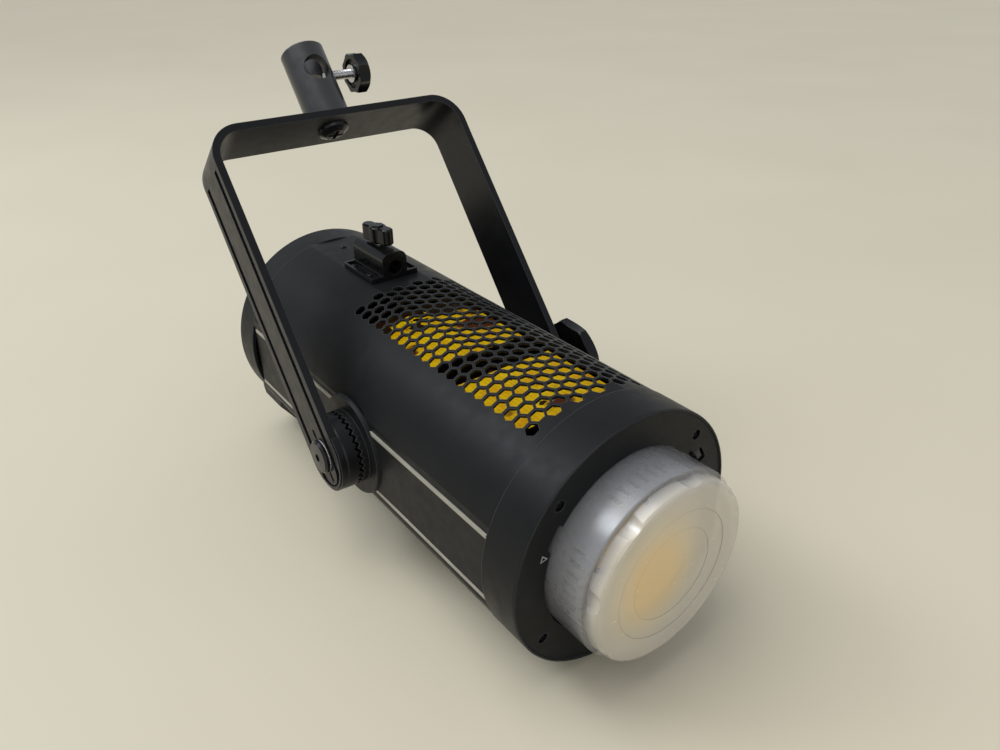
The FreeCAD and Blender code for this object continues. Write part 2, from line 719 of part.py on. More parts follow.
def spigot_knob():
    """Eight-lobed star knob, dished towards the tube."""
    blank = z_to_x(star(13.0, 11.4, 8, STAR_OUT - STAR_IN, phase=10.0), STAR_IN, 0, CROSS_H)
    soft = revolve_x([(0, STAR_IN), (12.4, STAR_IN), (13.1, STAR_IN + 0.8), (13.1, STAR_OUT - 1.5),
                      (11.4, STAR_OUT), (0, STAR_OUT)], 0, CROSS_H)
    dish = revolve_x([(0, STAR_IN - 1), (9.4, STAR_IN - 1), (8.6, STAR_IN + 2.0),
                      (0, STAR_IN + 2.0)], 0, CROSS_H)
    bore = cyl_x(CLAMP_R, STAR_IN, STAR_OUT - 3.0, 0, CROSS_H)
    return to_yoke(blank.common(soft).cut(group([dish, bore])))


# ---------------------------------------------------------------- umbrella bracket and its clamp
BLOCK_HALF = 8.6
BLOCK_TOP = 86.1
WING_HALF = 17.0
WING_TOP = TOP_FLAT + 3.4
UMBRELLA_SCREW_R = 2.5
U_KNOB_Z = 87.9
U_KNOB_TOP = 98.9


def umbrella_bracket():
    """Round-shouldered block with a shaft bore, on a base with a recessed wing each side."""
    y0, y1 = BRACKET_Y - BRACKET_L / 2, BRACKET_Y + BRACKET_L / 2
    base = box(-WING_HALF, WING_HALF, y0, y1, TOP_FLAT, WING_TOP)
    upright = [e for e in base.Edges if abs(e.Length - (WING_TOP - TOP_FLAT)) < 1e-6]
    base = base.makeFillet(2.0, upright)
    block = box(-BLOCK_HALF, BLOCK_HALF, y0, y1, TOP_FLAT, BLOCK_TOP)
    crown = [e for e in block.Edges if abs(e.Length - BRACKET_L) < 1e-6 and e.CenterOfMass.z > WING_TOP]
    block = block.makeFillet(5.2, crown)
    cuts = [cyl_y(BRACKET_BORE_R, y0 - 1, y1 + 1, 0, BRACKET_BORE_Z),
            cyl_z(UMBRELLA_SCREW_R + RUN, BRACKET_BORE_Z, BLOCK_TOP + 1, 0, BRACKET_Y)]
    for side in (-1, 1):
        inner, outer = sorted((side * (BLOCK_HALF + 0.9), side * (WING_HALF - 1.4)))
        cuts.append(box(inner, outer, y0 + 1.8, y1 - 1.8, TOP_FLAT + 1.6, WING_TOP + 1))
    return fuse([base, block]).cut(group(cuts))


def umbrella_pad():
    low = BRACKET_BORE_Z + BRACKET_BORE_R + 0.3
    return cyl_z(2.2, low, low + 1.2, 0, BRACKET_Y)


def umbrella_screw():
    low = BRACKET_BORE_Z + BRACKET_BORE_R + 1.55
    return cyl_z(UMBRELLA_SCREW_R, low, U_KNOB_TOP - 3.0, 0, BRACKET_Y)


WING_REACH = 12.6
WING_R = 3.9
WING_TURN = 11.0          # the wings' angle from the optical axis


def umbrella_knob():
    """Wing knob: a round hub between two wings, with a hexagon moulded on its top."""
    height = U_KNOB_TOP - U_KNOB_Z - 0.8
    tip = WING_REACH - WING_R
    wings = [box(-WING_R, WING_R, -tip, tip, 0, height)]
    wings += [cyl_z(WING_R, 0, height, 0, y) for y in (-tip, tip)]
    blank = fuse(wings + [cyl_z(5.6, 0, height)])
    ends = [e for e in blank.Edges if min(abs(e.CenterOfMass.z), abs(e.CenterOfMass.z - height)) < 1e-6]
    blank = blank.makeChamfer(0.8, ends)
    hexagon = hex_bar(3.4, 0.8)
    hexagon.translate(V(0, 0, height))
    neck = cyl_z(4.6, -0.45, 0.5)
    knob = fuse([blank, hexagon, neck])
    knob = knob.cut(cyl_z(UMBRELLA_SCREW_R, -3, U_KNOB_TOP - 3.0 - U_KNOB_Z))
    knob.rotate(ORIGIN, Z, WING_TURN)
    knob.translate(V(0, BRACKET_Y, U_KNOB_Z))
    return knob


# ---------------------------------------------------------------- protective cap
def grip_band():
    """Front of the cap: broad lobes between shallow dips."""
    radius, dip, dip_r = 49.6, 2.0, 13.2
    band = revolve_y([(0, -CAP_DEPTH), (46.0, -CAP_DEPTH), (47.8, -CAP_DEPTH + 0.6),
                      (48.7, -CAP_DEPTH + 1.7), (radius, -CAP_STEP), (0, -CAP_STEP)])
    dips = []
    for i in range(CAP_DIPS):
        centre = polar_y(radius - dip + dip_r, CAP_DIP_ANGLE + 360.0 / CAP_DIPS * i)
        dips.append(cyl_y(dip_r, -CAP_DEPTH - 1, -CAP_STEP + 1, centre.x, centre.z))
    return band.cut(group(dips))


def protective_cap():
    """Frosted cup with a lobed grip band, three bayonet lugs and a stepped face."""
    tail = 7.5
    inner = CAP_R - CAP_WALL
    mouth = 45.6
    skirt = revolve_y([(mouth, -CAP_STEP - 1), (CAP_R - 0.6, -CAP_STEP - 1), (CAP_R, -CAP_STEP - 0.2),
                       (CAP_R, tail), (inner, tail), (inner, -CAP_STEP + 0.8),
                       (mouth, -CAP_STEP + 0.8)])
    hollow = revolve_y([(0, -CAP_DEPTH + 2.0), (43.8, -CAP_DEPTH + 2.0), (45.2, -CAP_DEPTH + 3.4),
                        (mouth, -CAP_STEP - 1), (mouth, -CAP_STEP + 1), (0, -CAP_STEP + 1)])
    tray = revolve_y([(0, -CAP_DEPTH - 1), (35.2, -CAP_DEPTH - 1), (35.2, -CAP_DEPTH + 0.5),
                      (25.0, -CAP_DEPTH + 0.5), (25.0, -CAP_DEPTH + 0.8), (0, -CAP_DEPTH + 0.8)])
    cup = fuse([skirt, grip_band().cut(hollow)]).cut(tray)
    y_back = PLATE_IN + PLATE_T + 0.3
    lugs = [sector_y(CAP_R - 0.5, LUG_R, a, LUG_WIDTH, y_back, y_back + 2.2) for a in LUG_ANGLES]
    return fuse([cup] + lugs)


# ---------------------------------------------------------------- rear end
PANEL_Y = 312.0
PANEL_FACE = 314.5
RING_BORE = 67.4


def rear_ring():
    """Round rear cover whose front edge stands clear of the barrel's flats."""
    ring = revolve_y([(RING_BORE, REAR_Y), (REAR_R - 0.3, REAR_Y), (REAR_R, REAR_Y + 0.3),
                      (REAR_R, BACK_Y - 1.2), (REAR_R - 1.2, BACK_Y), (REAR_R - 3.4, BACK_Y),
                      (REAR_R - 4.4, PANEL_FACE), (REAR_R - 4.4, PANEL_Y - 6), (RING_BORE, PANEL_Y - 6)])
    rib = tube_y(RING_BORE, 60.0, PANEL_Y - 4, PANEL_Y)
    return fuse([ring, rib])


SCREEN = (-24.0, 24.0, 14.0, 42.0)       # x0, x1, z0, z1
DIAL_PLACE = (0.0, -8.0)
DIAL_R = 13.0
BUTTON_PLACES = ((-32.0, -8.0), (32.0, -8.0))
BUTTON_R = 5.0
INLET = (-30.0, -4.0, -52.0, -30.0)
SWITCH = (8.0, 30.0, -48.0, -34.0)


def rear_panel():
    """Control panel with openings for the screen, dial, buttons, inlet and switch."""
    panel = cyl_y(REAR_R - 4.5, PANEL_Y, PANEL_FACE)
    cuts = [box(x0, x1, PANEL_Y - 1, PANEL_FACE + 1, z0, z1)
            for x0, x1, z0, z1 in (SCREEN, INLET, SWITCH)]
    cuts.append(cyl_y(3.5 + RUN, PANEL_Y - 1, PANEL_FACE + 1, *DIAL_PLACE))
    cuts += [cyl_y(BUTTON_R + 0.2, PANEL_Y - 1, PANEL_FACE + 1, x, z) for x, z in BUTTON_PLACES]
    return panel.cut(group(cuts))


def screen_window():
    x0, x1, z0, z1 = SCREEN
    return fuse([box(x0, x1, PANEL_Y, PANEL_FACE, z0, z1),
                 box(x0 - 2, x1 + 2, PANEL_FACE, PANEL_FACE + 0.8, z0 - 2, z1 + 2)])


def dimmer_dial():
    """Knurled dial on its shaft."""
    x, z = DIAL_PLACE
    y0, y1 = PANEL_FACE + 0.6, BACK_Y + 7.0
    blank = z_to_y(star(DIAL_R, DIAL_R - 0.7, 20, y1 - y0), x, y0, z)
    turned = revolve_y([(0, y0), (DIAL_R, y0), (DIAL_R, y1 - 1.4), (DIAL_R - 1.4, y1), (0, y1)], x, z)
    mark = box(x - 0.5, x + 0.5, y1 - 0.6, y1 + 1, z + 5, z + DIAL_R + 1)
    shaft = cyl_y(3.5, PANEL_Y - 8, y0, x, z)
    return fuse([blank.common(turned), shaft]).cut(mark)


def panel_button(place):
    x, z = place
    y1 = PANEL_FACE + 1.8
    return revolve_y([(0, PANEL_Y - 1), (BUTTON_R, PANEL_Y - 1), (BUTTON_R, y1 - 0.5),
                      (BUTTON_R - 0.5, y1), (0, y1)], x, z)


def power_inlet():
    """Three-pin appliance inlet with its flange and recessed pins."""
    x0, x1, z0, z1 = INLET
    cx, cz = (x0 + x1) / 2, (z0 + z1) / 2
    body = fuse([box(x0, x1, PANEL_Y - 16, PANEL_FACE, z0, z1),
                 box(x0 - 2.5, x1 + 2.5, PANEL_FACE, PANEL_FACE + 2, z0 - 2, z1 + 2)])
    well = box(cx - 10.5, cx + 10.5, PANEL_Y - 12, PANEL_FACE + 3, cz - 7, cz + 7)
    return body.cut(well)


def inlet_pins():
    x0, x1, z0, z1 = INLET
    cx, cz = (x0 + x1) / 2, (z0 + z1) / 2
    places = ((cx - 6, cz - 2), (cx, cz + 2.5), (cx + 6, cz - 2))
    return group([box(x - 0.7, x + 0.7, PANEL_Y - 12, PANEL_Y - 2, z - 2, z + 2) for x, z in places])


def switch_bezel():
    x0, x1, z0, z1 = SWITCH
    body = fuse([box(x0, x1, PANEL_Y - 12, PANEL_FACE, z0, z1),
                 box(x0 - 1.5, x1 + 1.5, PANEL_FACE, PANEL_FACE + 1.5, z0 - 1.5, z1 + 1.5)])
    well = box(x0 + 1.2, x1 - 1.2, PANEL_Y - 9, PANEL_FACE + 3, z0 + 1.2, z1 - 1.2)
    return body.cut(well)


ROCKER_AXIS_Y = PANEL_FACE - 3.0


def power_rocker():
    """Rocker, one end in, on trunnions along Z through its middle."""
    x0, x1, z0, z1 = SWITCH
    cx = (x0 + x1) / 2
    half = (x1 - x0) / 2 - 2.4
    y = ROCKER_AXIS_Y
    outline = [V(cx - half, y - 1.5, z0 + 1.6), V(cx + half, y - 1.5, z0 + 1.6),
               V(cx + half, y + 5.2, z0 + 1.6), V(cx, y + 3.6, z0 + 1.6),
               V(cx - half, y + 5.2, z0 + 1.6)]
    rocker = prism(outline, V(0, 0, z1 - z0 - 3.2))
    rocker = fuse([rocker, cyl_z(1.0, z0 + 1.25, z1 - 1.25, cx, y)])
    rocker.rotate(V(cx, y, 0), Z, 7)
    return rocker


FOOT_Y = (286.0, 316.0)


def rear_foot():
    """Rubber cradle under the rear, flat below, level with the front ring."""
    y0, y1 = FOOT_Y
    outline = [V(-60, y0, -34), V(-60, y0, -43), V(-40, y0, -FRONT_R), V(40, y0, -FRONT_R),
               V(60, y0, -43), V(60, y0, -34)]
    block = prism(outline, V(0, y1 - y0, 0))
    ends = [e for e in block.Edges if abs(e.CenterOfMass.y - y0) < 0.01 or abs(e.CenterOfMass.y - y1) < 0.01]
    low = [e for e in ends if e.CenterOfMass.z < -43.5]
    block = block.makeChamfer(2.5, low)
    inside = fuse([barrel_section(0.0, y0 - 5, REAR_Y), cyl_y(REAR_R, REAR_Y, y1 + 5)])
    return block.cut(inside)


# ---------------------------------------------------------------- assembly
def all_nodes():
    left_trims = side_trims()
    nodes = {
        "barrel_shell": barrel_shell(),
        "front_ring": front_ring(),
        "front_plate": front_plate(),
        "lock_pin": lock_pin(),
        "release_slider": release_slider(),
        "cob_collar": cob_collar(),
        "reflector_dish": reflector_dish(),
        "cob_frame": cob_frame(),
        "cob_led": cob_led(),
        "cold_plate": cold_plate(),
        "heat_pipes": heat_pipes(),
        "fin_stack_front": fin_stack(*FRONT_STACK),
        "fin_stack_rear": fin_stack(*REAR_STACK),
        "chassis_tray": chassis_tray(),
        "driver_board": driver_board(),
        "driver_parts": driver_parts(),
        "board_posts": board_posts(),
        "side_panel_left": side_panel(),
        "side_panel_right": mirror_x(side_panel()),
        "side_trims": group(left_trims + [mirror_x(t) for t in left_trims]),
        "tilt_collar_left": tilt_collar(-1),
        "tilt_collar_right": tilt_collar(1),
        "pivot_screw": pivot_screw(),
        "tilt_stud": tilt_stud(),
        "rear_ring": rear_ring(),
        "rear_panel": rear_panel(),
        "screen_window": screen_window(),
        "dimmer_dial": dimmer_dial(),
        "button_left": panel_button(BUTTON_PLACES[0]),
        "button_right": panel_button(BUTTON_PLACES[1]),
        "power_inlet": power_inlet(),
        "inlet_pins": inlet_pins(),
        "switch_bezel": switch_bezel(),
        "power_rocker": power_rocker(),
        "rear_foot": rear_foot(),
        "umbrella_bracket": umbrella_bracket(),
        "umbrella_pad": umbrella_pad(),
        "umbrella_screw": umbrella_screw(),
        "umbrella_knob": umbrella_knob(),
        "protective_cap": protective_cap(),
        "yoke_bar": yoke_bar(),
        "leg_end_cap_left": leg_end_cap(-1),
        "leg_end_cap_right": leg_end_cap(1),
        "thrust_washer_left": thrust_washer(-1),
        "thrust_washer_right": thrust_washer(1),
        "tilt_knob": tilt_knob(),
        "tilt_knob_nut": tilt_knob_nut(),
        "spigot_receiver": spigot_receiver(),
        "receiver_screw": receiver_screw(),
        "spigot_pad": spigot_pad(),
        "spigot_screw": spigot_screw(),
        "spigot_knob": spigot_knob(),
    }
    return nodes


def main():
    os.makedirs("parts", exist_ok=True)
    for name, shape in all_nodes().items():
        shape.exportStep("parts/" + name + ".step")


main()
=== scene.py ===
"""Looks for the compact LED spotlight: materials, small trim, floor, lights and camera.

Lengths are metres in the CAD frame: the light leaves along -Y, +Z is up, +X is the tilt knob's side.
"""
import math

import bmesh
import bpy
from mathutils import Matrix, Vector
from mathutils.bvhtree import BVHTree


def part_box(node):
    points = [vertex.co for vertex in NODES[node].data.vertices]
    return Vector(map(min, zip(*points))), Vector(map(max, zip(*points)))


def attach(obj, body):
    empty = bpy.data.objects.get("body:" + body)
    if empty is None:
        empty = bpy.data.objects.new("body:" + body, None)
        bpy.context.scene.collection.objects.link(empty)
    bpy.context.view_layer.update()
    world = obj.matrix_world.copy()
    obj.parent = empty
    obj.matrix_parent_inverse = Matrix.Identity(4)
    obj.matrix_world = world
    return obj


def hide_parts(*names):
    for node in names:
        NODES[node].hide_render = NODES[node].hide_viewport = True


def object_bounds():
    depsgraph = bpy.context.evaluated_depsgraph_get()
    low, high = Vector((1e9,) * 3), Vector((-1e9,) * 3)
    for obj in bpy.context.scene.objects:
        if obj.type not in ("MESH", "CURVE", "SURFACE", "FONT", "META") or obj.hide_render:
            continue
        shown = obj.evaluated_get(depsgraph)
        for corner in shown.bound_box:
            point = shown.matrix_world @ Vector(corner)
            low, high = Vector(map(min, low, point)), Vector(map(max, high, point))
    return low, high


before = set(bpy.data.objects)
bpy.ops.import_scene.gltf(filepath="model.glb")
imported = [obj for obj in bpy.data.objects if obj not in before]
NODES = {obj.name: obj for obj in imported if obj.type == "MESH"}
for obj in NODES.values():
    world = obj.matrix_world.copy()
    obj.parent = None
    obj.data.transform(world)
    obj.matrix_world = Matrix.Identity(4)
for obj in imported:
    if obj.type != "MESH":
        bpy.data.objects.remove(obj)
CAD_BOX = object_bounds()
MM = 0.001
NOISE_LOW, NOISE_HIGH = 0.3, 0.7

YOKE_LEAN = math.radians(38.8)
TILT_AXIS = Vector((0.0, 156.3, 0.0)) * MM


# ---------------------------------------------------------------- material helpers
class Look:
    """A material with one Principled shader and short calls for the nodes that feed it."""

    def __init__(self, name, colour, roughness, metallic=0.0, **sockets):
        self.material = bpy.data.materials.new(name)
        self.material.use_nodes = True
        self.tree = self.material.node_tree
        self.shader = self.tree.nodes["Principled BSDF"]
        self.set("Base Color", (*colour, 1.0))
        self.set("Roughness", roughness)
        self.set("Metallic", metallic)
        for socket, value in sockets.items():
            self.set(socket.replace("_", " "), value)
        self.place = self.node("ShaderNodeTexCoord").outputs["Object"]

    def set(self, socket, value):
        self.shader.inputs[socket].default_value = value

    def node(self, kind, **settings):
        made = self.tree.nodes.new(kind)
        for key, value in settings.items():
            setattr(made, key, value)
        return made

    def link(self, source, target):
        self.tree.links.new(source, target)

    def feed(self, socket, source):
        self.link(source, self.shader.inputs[socket])

    def noise(self, scale, detail=2.0, stretch=None, distortion=0.0):
        """Noise over the object's own coordinates; scale is per metre."""
        made = self.node("ShaderNodeTexNoise")
        made.inputs["Scale"].default_value = scale
        made.inputs["Detail"].default_value = detail
        made.inputs["Distortion"].default_value = distortion
        source = self.place
        if stretch:
            mapping = self.node("ShaderNodeMapping")
            mapping.inputs["Scale"].default_value = stretch
            self.link(source, mapping.inputs["Vector"])
            source = mapping.outputs["Vector"]
        self.link(source, made.inputs["Vector"])
        return made.outputs["Fac"]

    def cells(self, scale):
        """Distance to the nearest edge of a pattern of cells."""
        made = self.node("ShaderNodeTexVoronoi", feature="DISTANCE_TO_EDGE")
        made.inputs["Scale"].default_value = scale
        self.link(self.place, made.inputs["Vector"])
        return made.outputs["Distance"]

    def ramp(self, source, *stops):
        """Colour ramp through (position, colour) stops; a colour may be one grey value."""
        made = self.node("ShaderNodeValToRGB")
        elements = made.color_ramp.elements
        while len(elements) < len(stops):
            elements.new(0.5)
        for element, (position, colour) in zip(elements, stops):
            element.position = position
            grey = not isinstance(colour, tuple)
            element.color = (colour, colour, colour, 1.0) if grey else (*colour, 1.0)
        self.link(source, made.inputs["Fac"])
        return made.outputs["Color"]

    def span(self, source, low, high):
        """Stretch the middle of a noise, where most of its values lie, to low-high."""
        made = self.node("ShaderNodeMapRange")
        made.inputs["From Min"].default_value = NOISE_LOW
        made.inputs["From Max"].default_value = NOISE_HIGH
        made.inputs["To Min"].default_value = low
        made.inputs["To Max"].default_value = high
        self.link(source, made.inputs["Value"])
        return made.outputs["Result"]

    def between(self, source, low, high):
        """0 at low and 1 at high, with a smooth run between them."""
        made = self.node("ShaderNodeMapRange", interpolation_type="SMOOTHSTEP")
        made.inputs["From Min"].default_value = low
        made.inputs["From Max"].default_value = high
        self.link(source, made.inputs["Value"])
        return made.outputs["Result"]

    def distance(self, centre, scale):
        """Distance from a point, with each axis scaled first."""
        offset = self.node("ShaderNodeVectorMath", operation="SUBTRACT")
        self.link(self.place, offset.inputs[0])
        offset.inputs[1].default_value = centre
        scaled = self.node("ShaderNodeVectorMath", operation="MULTIPLY")
        self.link(offset.outputs["Vector"], scaled.inputs[0])
        scaled.inputs[1].default_value = scale
        length = self.node("ShaderNodeVectorMath", operation="LENGTH")
        self.link(scaled.outputs["Vector"], length.inputs[0])
        return length.outputs["Value"]

    def math(self, operation, *values):
        """A Math node; each value is a number or another node's output."""
        made = self.node("ShaderNodeMath", operation=operation)
        for socket, value in zip(made.inputs, values):
            if isinstance(value, (int, float)):
                socket.default_value = value
            else:
                self.link(value, socket)
        return made.outputs["Value"]

    def mix(self, factor, first, second):
        """Blend two colours; each value is a number, a colour or another node's output."""
        made = self.node("ShaderNodeMix", data_type="RGBA")
        sockets = (made.inputs[0], made.inputs[6], made.inputs[7])
        for socket, value in zip(sockets, (factor, first, second)):
            if isinstance(value, (int, float)):
                socket.default_value = value
            elif isinstance(value, tuple):
                socket.default_value = (*value, 1.0)
            else:
                self.link(value, socket)
        return made.outputs[2]

    def mottle(self, scale, dark, light, detail=2.0, stretch=None, distortion=0.0):
        """Noise that wanders between two colours."""
        cloud = self.noise(scale, detail, stretch, distortion)
        return self.ramp(cloud, (NOISE_LOW, dark), (NOISE_HIGH, light))

    def part_of(self, vector, axis):
        """One component of a vector."""
        split = self.node("ShaderNodeSeparateXYZ")
        self.link(vector, split.inputs["Vector"])
        return split.outputs[axis]

    def true_normal(self):
        return self.node("ShaderNodeNewGeometry").outputs["True Normal"]

    def soft_edges(self, radius):
        """Rounded edge normals and a mask that is 1 on the edges."""
        bevel = self.node("ShaderNodeBevel", samples=6)
        bevel.inputs["Radius"].default_value = radius
        normal = self.node("ShaderNodeNewGeometry").outputs["Normal"]
        dot = self.node("ShaderNodeVectorMath", operation="DOT_PRODUCT")
        self.link(bevel.outputs["Normal"], dot.inputs[0])
        self.link(normal, dot.inputs[1])
        mask = self.ramp(dot.outputs["Value"], (0.80, 1.0), (0.985, 0.0))
        return bevel.outputs["Normal"], mask

    def bump(self, height, distance, strength=1.0, normal=None):
        made = self.node("ShaderNodeBump")
        made.inputs["Distance"].default_value = distance
        made.inputs["Strength"].default_value = strength
        self.link(height, made.inputs["Height"])
        if normal is not None:
            self.link(normal, made.inputs["Normal"])
        self.feed("Normal", made.outputs["Normal"])


def scaled(colour, factor):
    return tuple(channel * factor for channel in colour)


def powder_coat(name, colour, roughness, grain=1800.0, height=0.00003, edge=0.25, gloss=0.12,
                rim=0.0004):
    """Fine-grained powder coat with mottled sheen, dust specks and a painted highlight along its
    edges.
    """
    look = Look(name, colour, roughness, Specular_IOR_Level=gloss)
    normal, mask = look.soft_edges(rim)
    base = look.mottle(38.0, scaled(colour, 0.9), scaled(colour, 1.12), 3.0)
    dust = look.ramp(look.noise(2600.0, 1.0), (0.76, 0.0), (0.82, 1.0))
    base = look.mix(look.math("MULTIPLY", dust, 0.10), base, (0.30, 0.30, 0.29))
    # Painted highlight: the edges lighten toward a pale blue-grey, as strongly as edge sets.
    edge_highlight = look.math("MULTIPLY", mask, edge)
    look.feed("Base Color", look.mix(edge_highlight, base, (0.13, 0.138, 0.15)))
    look.feed("Roughness", look.span(look.noise(140.0, 4.0), roughness - 0.05, roughness + 0.06))
    look.bump(look.noise(grain, 2.0), height, 0.6, normal)
    return look.material


def moulded(name, colour, roughness, grain=2600.0, height=0.00002, edge=0.25, **sockets):
    """Moulded plastic or rubber with a spark-eroded grain and a painted highlight along its edges."""
    look = Look(name, colour, roughness, **sockets)
    normal, mask = look.soft_edges(0.0005)
    base = look.mottle(60.0, scaled(colour, 0.85), scaled(colour, 1.2))
    # Painted highlight: the edges lighten toward a lighter tint of the colour, as strongly as edge
    # sets.
    edge_highlight = look.math("MULTIPLY", mask, edge)
    edge_highlight_tint = tuple(min(1.0, channel * 2.2 + 0.03) for channel in colour)
    look.feed("Base Color", look.mix(edge_highlight, base, edge_highlight_tint))
    look.feed("Roughness", look.span(look.noise(320.0, 3.0), roughness - 0.06, roughness + 0.06))
    look.bump(look.noise(grain, 1.0), height, 0.5, normal)
    return look.material


def metal(name, colour, roughness, stretch=None, height=0.00001, metallic=1.0):
    """Bare metal; stretch draws the brushing out along an axis."""
    look = Look(name, colour, roughness, metallic)
    normal, _ = look.soft_edges(0.0002)
    streak = look.noise(900.0, 3.0, stretch=stretch)
    look.feed("Base Color", look.mottle(90.0, scaled(colour, 0.82), colour, 3.0))
    look.feed("Roughness", look.span(streak, roughness - 0.08, roughness + 0.10))
    look.bump(streak, height, 0.4, normal)
    return look.material


# ---------------------------------------------------------------- the materials
FIN_SEAM_STEP = 1.3 * MM
FIN_SEAM_WIDTH = 0.09 * MM
FIN_SHADE_RUN = (0.150, 0.192)


def fins_gold():
    """Golden yellow fins with dark folded seams and random darker patches; painted shade darkens
    their end faces and hole walls, and patches toward the rear.
    """
    look = Look("fins_gold", (1.0, 0.60, 0.0), 0.42, 0.15, Specular_IOR_Level=0.15)
    normal, _ = look.soft_edges(0.0003)
    # Darker red-brown patches at random over the fins.
    darker_patches = look.ramp(look.noise(30.0, 3.0, stretch=(1.0, 2.0, 1.0)), (0.60, 0.0), (0.66, 1.0))
    tone = look.mottle(70.0, (0.85, 0.44, 0.0), (1.0, 0.68, 0.002))
    golden = look.mix(darker_patches, tone, (0.10, 0.022, 0.006))
    # Painted shadow: dark patches, broken up by noise, over the rear part of the fins.
    rear = look.between(look.distance((0.0, 0.0, 0.0), (0.0, 1.0, 0.0)), *FIN_SHADE_RUN)
    shade = look.math("MULTIPLY_ADD", rear, 0.34, look.noise(75.0, 2.0))
    golden = look.mix(look.math("GREATER_THAN", shade, 0.70), golden, (0.020, 0.009, 0.003))
    fold = look.math("PINGPONG", look.part_of(look.place, "X"), FIN_SEAM_STEP)
    seam = look.math("LESS_THAN", fold, FIN_SEAM_WIDTH)
    golden = look.mix(look.math("MULTIPLY", seam, 0.55), golden, (0.05, 0.02, 0.004))
    # Painted shade: faces that look along the lamp's axis are made near-black.
    along = look.math("ABSOLUTE", look.part_of(look.true_normal(), "Y"), 0.0)
    painted_end_shade = look.math("GREATER_THAN", along, 0.3)
    look.feed("Base Color", look.mix(painted_end_shade, golden, (0.012, 0.008, 0.005)))
    look.feed("Roughness", look.span(look.noise(500.0, 2.0), 0.30, 0.46))
    look.bump(look.noise(700.0, 2.0, stretch=(1.0, 6.0, 1.0)), 0.00002, 0.4, normal)
    return look.material


# The painted glow of the LED behind the face sits a little off the axis, toward the side that the
# photograph was taken from.
CAP_PAINTED_GLOW = (-0.012, 0.0, 0.005)
CAP_PAINTED_GLOW_REACH = 0.040
CAP_PAINTED_GLOW_CORE = 0.008
CAP_FACE_RUN = (10 * MM, 1 * MM)
CAP_SKIRT_ALPHA = 0.26
CAP_FACE_ALPHA = 0.62


def cap_frosted():
    """Milky polypropylene: a see-through skirt and a denser face whose colour is a painted glow of
    the LED behind it.
    """
    look = Look("cap_frosted", (0.5, 0.5, 0.5), 0.26, IOR=1.49, Specular_IOR_Level=0.9,
                Coat_Weight=1.0, Coat_IOR=1.9, Coat_Roughness=0.28)
    normal, _ = look.soft_edges(0.0012)
    low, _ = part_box("protective_cap")
    behind, front = (low.y + depth for depth in CAP_FACE_RUN)
    face = look.between(look.part_of(look.place, "Y"), behind, front)
    off_centre = look.distance(CAP_PAINTED_GLOW, (1.0, 0.0, 0.85))
    glow = look.between(off_centre, CAP_PAINTED_GLOW_REACH, CAP_PAINTED_GLOW_CORE)
    milk = look.mottle(55.0, (0.44, 0.44, 0.46), (0.54, 0.54, 0.56), 3.0, distortion=0.6)
    # Painted light: the face turns yellow toward its core, as if lit by the LED through it.
    painted_led_glow = look.ramp(glow, (0.0, (0.66, 0.61, 0.52)), (0.5, (0.82, 0.70, 0.48)),
                     (1.0, (0.98, 0.70, 0.31)))
    look.feed("Base Color", look.mix(face, milk, painted_led_glow))
    denser = CAP_FACE_ALPHA - CAP_SKIRT_ALPHA
    look.feed("Alpha", look.math("MULTIPLY_ADD", face, denser, CAP_SKIRT_ALPHA))
    look.feed("Roughness", look.span(look.noise(240.0, 4.0), 0.18, 0.28))
    look.bump(look.noise(900.0, 1.0), 0.000008, 0.25, normal)
    return look.material


PHOSPHOR_DEPTH = 0.4 * MM


def led_emitter():
    """Yellow phosphor on the front of a pale ceramic carrier."""
    look = Look("led_yellow", (0.85, 0.60, 0.06), 0.42, Coat_Weight=0.5)
    low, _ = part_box("cob_led")
    front = look.math("LESS_THAN", look.part_of(look.place, "Y"), low.y + PHOSPHOR_DEPTH)
    phosphor = look.mottle(1400.0, (0.80, 0.50, 0.04), (0.92, 0.66, 0.10))
    ceramic = look.mottle(300.0, (0.70, 0.70, 0.67), (0.80, 0.80, 0.77))
    look.feed("Base Color", look.mix(front, ceramic, phosphor))
    look.bump(look.noise(2200.0, 2.0), 0.00003, 0.5)
    return look.material


def reflector_white():
    """White plastic with a satin sheen inside the funnel; its outward side is painted near-black as
    shade.
    """
    look = Look("white_reflector", (0.82, 0.82, 0.80), 0.28, Coat_Weight=0.4)
    white = look.mottle(80.0, (0.78, 0.78, 0.76), (0.86, 0.86, 0.84))
    outward = look.node("ShaderNodeVectorMath", operation="DOT_PRODUCT")
    look.link(look.place, outward.inputs[0])
    look.link(look.true_normal(), outward.inputs[1])
    # Painted shade: faces that look away from the axis are made near-black.
    back = look.math("GREATER_THAN", outward.outputs["Value"], 0.0)
    look.feed("Base Color", look.mix(back, white, (0.020, 0.018, 0.018)))
    look.feed("Roughness", look.span(look.noise(400.0, 3.0), 0.22, 0.36))
    look.bump(look.noise(1900.0, 1.0), 0.00002, 0.4)
    return look.material


def circuit_board():
    """Green solder mask with paler tracks."""
    look = Look("board_green", (0.02, 0.15, 0.06), 0.35, Coat_Weight=0.3)
    tracks = look.cells(160.0)
    mask = look.ramp(tracks, (0.04, (0.05, 0.26, 0.10)), (0.07, (0.015, 0.12, 0.05)))
    look.feed("Base Color", mask)
    look.bump(tracks, 0.00005, 0.5)
    return look.material


def screen_glass():
    """Dark display window under a glossy, faintly smudged cover."""
    look = Look("screen_glass", (0.008, 0.010, 0.012), 0.08, Coat_Weight=1.0, IOR=1.5)
    look.feed("Base Color", look.mottle(45.0, (0.006, 0.008, 0.010), (0.012, 0.016, 0.020)))
    look.feed("Roughness", look.span(look.noise(120.0, 4.0), 0.05, 0.16))
    look.bump(look.noise(30.0, 1.0), 0.00001, 0.2)
    return look.material


